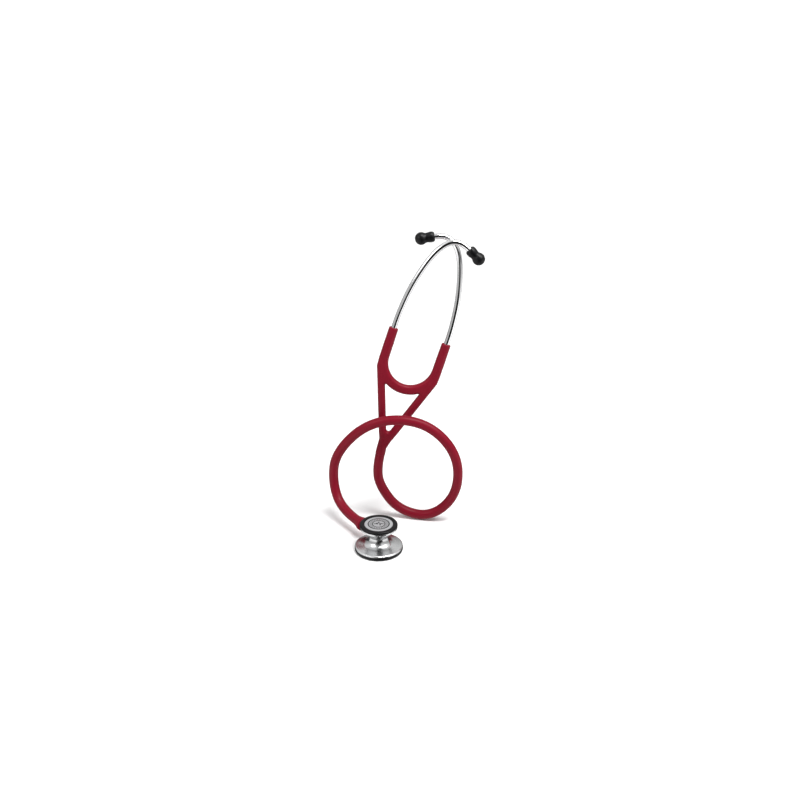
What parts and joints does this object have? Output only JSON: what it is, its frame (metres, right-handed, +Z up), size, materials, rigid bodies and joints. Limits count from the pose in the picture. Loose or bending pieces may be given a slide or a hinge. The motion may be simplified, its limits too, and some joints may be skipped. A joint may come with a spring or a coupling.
{
  "type": "stethoscope",
  "caption": "Two-sided acoustic stethoscope with a thick one-piece tube and yoke, standing with its tube in a loop and its eartubes crossed.",
  "frame": {"origin": "centre of the large diaphragm's contact face, which lies flat on the surface that the object stands on", "axes": "+Z up, out of the small diaphragm; the tube's loop stands nearly in the XZ plane behind the chestpiece, at +Y, and the headset leans towards +X"},
  "size_m": [0.1454, 0.1139, 0.2777],
  "materials": {
    "burgundy_pvc": "satin moulded",
    "turned_steel": "fine turned",
    "polished_steel": "polished",
    "spring_steel": "plain",
    "eartube_alloy": "polished",
    "black_rim": "satin",
    "soft_black": "soft satin",
    "seal_rubber": "matte",
    "diaphragm_sheet": "semi-gloss",
    "printed_diaphragm": "semi-gloss with a printed ring",
    "tip_insert": "plain"
  },
  "bodies": {
    "tubing": {"main_tube": "burgundy_pvc", "yoke_body": "burgundy_pvc", "leaf_spring": "spring_steel", "tube_cuff": "burgundy_pvc", "valve_stem": "polished_steel", "stem_seal": "seal_rubber", "detent_ball": "spring_steel", "detent_spring": "spring_steel"},
    "chestpiece": {"chest_body": "turned_steel", "large_rim": "black_rim", "small_rim": "black_rim", "retaining_ring": "spring_steel"},
    "large_disc": {"large_diaphragm": "diaphragm_sheet"},
    "small_disc": {"small_diaphragm": "printed_diaphragm"},
    "left_arm": {"left_arm_sleeve": "burgundy_pvc", "left_eartube": "eartube_alloy"},
    "right_arm": {"right_arm_sleeve": "burgundy_pvc", "right_eartube": "eartube_alloy"},
    "left_tip": {"left_eartip": "soft_black", "left_eartip_core": "tip_insert"},
    "right_tip": {"right_eartip": "soft_black", "right_eartip_core": "tip_insert"}
  },
  "joints": [
    {"name": "left_spread", "type": "hinge", "parent": "tubing", "child": "left_arm", "pos_m": [0.00548, 0.07053, 0.16548], "axis": [0, -0.9962, 0.0872], "range_deg": [0, 50], "stiffness_Nm_per_rad": 1},
    {"name": "right_spread", "type": "hinge", "parent": "tubing", "child": "right_arm", "pos_m": [0.05398, 0.06915, 0.14978], "axis": [0, 0.9962, -0.0872], "range_deg": [0, 50], "stiffness_Nm_per_rad": 1},
    {"name": "chestpiece_turn", "type": "hinge", "parent": "tubing", "child": "chestpiece", "pos_m": [0, 0, 0.014], "axis": [-0.5878, 0.809, 0], "continuous": true},
    {"name": "large_diaphragm_press", "type": "slide", "parent": "chestpiece", "child": "large_disc", "axis": [0, 0, 1], "range_m": [0, 0.00035], "stiffness_N_per_m": 400, "springref_m": -0.00625},
    {"name": "small_diaphragm_press", "type": "slide", "parent": "chestpiece", "child": "small_disc", "axis": [0, 0, -1], "range_m": [0, 0.00035], "stiffness_N_per_m": 400, "springref_m": -0.00625},
    {"name": "left_eartip_pull", "type": "slide", "parent": "left_arm", "child": "left_tip", "axis": [0.7071, -0.0616, -0.7044], "range_m": [0, 0.012]},
    {"name": "right_eartip_pull", "type": "slide", "parent": "right_arm", "child": "right_tip", "axis": [-0.9877, -0.0136, -0.1558], "range_m": [0, 0.012]}
  ]
}
